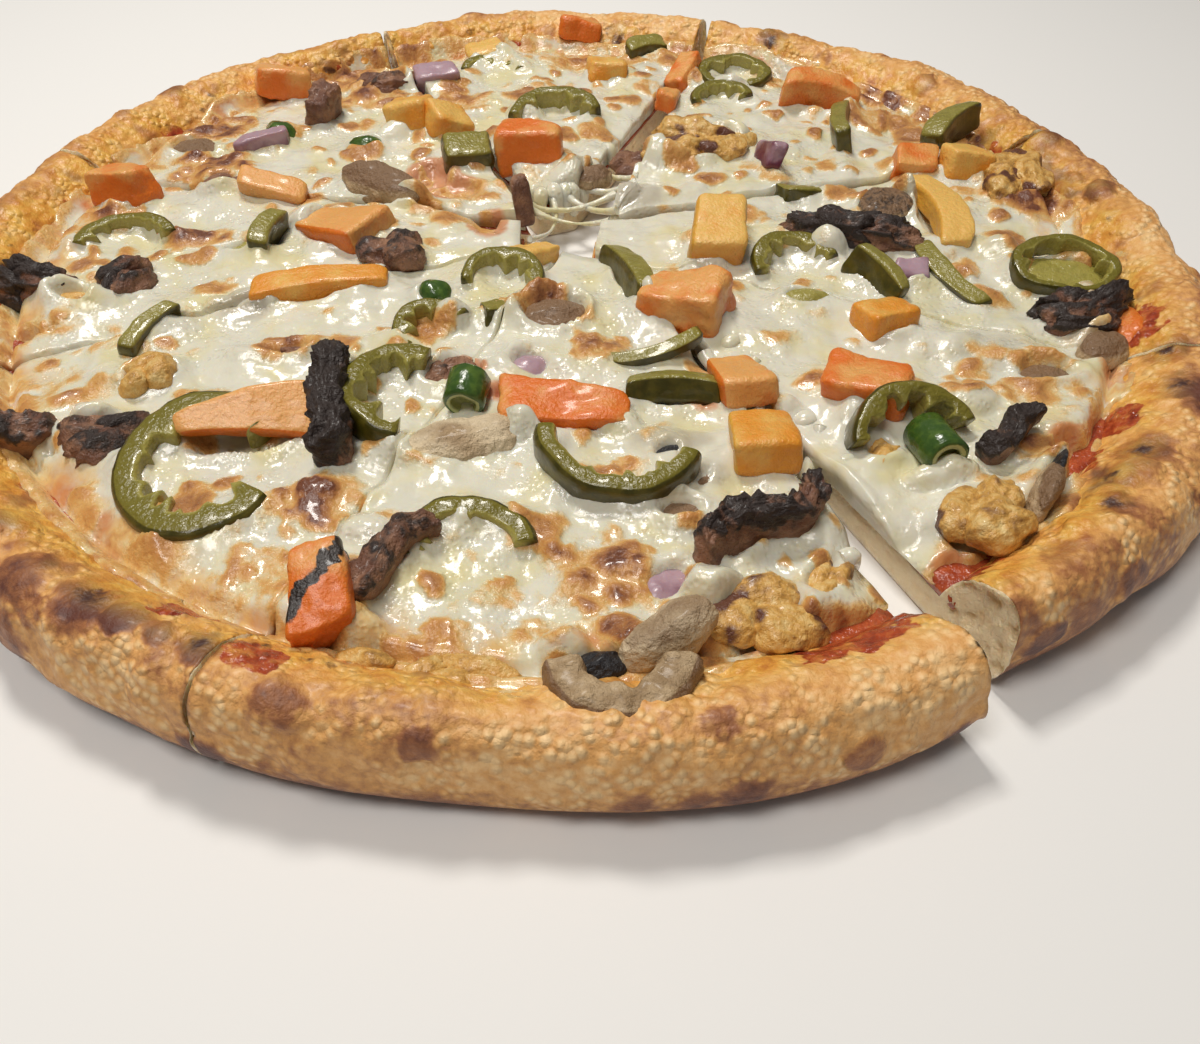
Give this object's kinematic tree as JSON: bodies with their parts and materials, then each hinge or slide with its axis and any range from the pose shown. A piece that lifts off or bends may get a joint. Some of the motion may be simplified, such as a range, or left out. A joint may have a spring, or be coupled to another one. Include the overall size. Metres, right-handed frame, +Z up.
{
  "type": "pan pizza",
  "caption": "Round pan pizza with a raised golden crust, cut into slices that lie together, under melted cheese, peppers, roast meat, chicken and mushrooms.",
  "frame": {"origin": "on the flat underside, in the middle of the pizza", "axes": "+Z up through the toppings, -Y towards the front slice, +X to its right"},
  "size_m": [0.3035, 0.3071, 0.0246],
  "materials": {
    "crust": "baked golden crust, satin",
    "sauce": "wet tomato sauce",
    "cheese": "melted, browned in patches",
    "jalapeno": "wet olive skin",
    "green_chilli": "wet green skin",
    "tomato": "soft and wet",
    "sweet_pepper": "soft and wet",
    "mushroom": "cooked, satin",
    "roast_meat": "charred, rough",
    "chicken": "roasted, satin"
  },
  "bodies": {
    "root": {"dough_right_front": "crust", "dough_right": "crust", "dough_upper_right": "crust", "dough_top": "crust", "dough_upper_left": "crust", "dough_left": "crust", "dough_left_front": "crust", "dough_front": "crust", "sauce_right_front": "sauce", "sauce_right": "sauce", "sauce_upper_right": "sauce", "sauce_top": "sauce", "sauce_upper_left": "sauce", "sauce_left": "sauce", "sauce_left_front": "sauce", "sauce_front": "sauce", "cheese_right_front": "cheese", "cheese_right": "cheese", "cheese_upper_right": "cheese", "cheese_top": "cheese", "cheese_upper_left": "cheese", "cheese_left": "cheese", "cheese_left_front": "cheese", "cheese_front": "cheese", "jalapeno_left_front": "jalapeno", "jalapeno_middle_front": "jalapeno", "jalapeno_arched": "jalapeno", "jalapeno_big_front": "jalapeno", "jalapeno_front_arch": "jalapeno", "jalapeno_right_front": "jalapeno", "jalapeno_right": "jalapeno", "chilli_middle": "green_chilli", "chilli_right_front": "green_chilli", "tomato_left_front": "tomato", "tomato_front_left": "tomato", "tomato_middle": "tomato", "tomato_block_upper": "tomato", "tomato_right_front": "tomato", "tomato_centre": "tomato", "tomato_top": "tomato", "tomato_left": "tomato", "tomato_block_lower": "sweet_pepper", "pepper_right": "sweet_pepper", "pepper_centre": "sweet_pepper", "pepper_left": "sweet_pepper", "mushroom_middle": "mushroom", "mushroom_front": "mushroom", "mushroom_right_front": "mushroom", "mushroom_left": "mushroom", "charred_left_front": "roast_meat", "meat_left_front": "roast_meat", "meat_front_left": "roast_meat", "charred_front": "roast_meat", "charred_right_front": "roast_meat", "charred_right": "roast_meat", "meat_right": "roast_meat", "charred_left": "roast_meat", "chicken_front": "chicken", "chicken_right_front": "chicken", "browned_upper_right": "chicken"}
  },
  "joints": []
}
